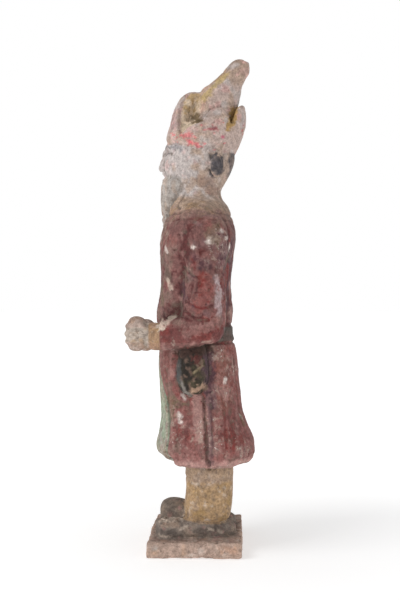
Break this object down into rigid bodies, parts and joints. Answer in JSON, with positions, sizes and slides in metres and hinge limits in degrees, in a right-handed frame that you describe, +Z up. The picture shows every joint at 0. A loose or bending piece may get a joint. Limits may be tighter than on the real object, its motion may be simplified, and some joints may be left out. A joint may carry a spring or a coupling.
{
  "type": "terracotta tomb figure",
  "caption": "Standing painted-pottery tomb figure of a bearded attendant in a tall leaning hat and belted long robe, hands held forward, on a flat slab.",
  "frame": {"origin": "centre of the slab's flat underside, where the figure stands", "axes": "+Z up to the hat's knob, -Y the way the figure faces, +X its own left-hand side"},
  "size_m": [0.0946, 0.0874, 0.3378],
  "materials": {
    "painted_terracotta": "matt fired clay with a white ground, worn maroon, green, ochre and black pigment, and burial dirt"
  },
  "bodies": {
    "root": {"tomb_figure": "painted_terracotta"}
  },
  "joints": []
}
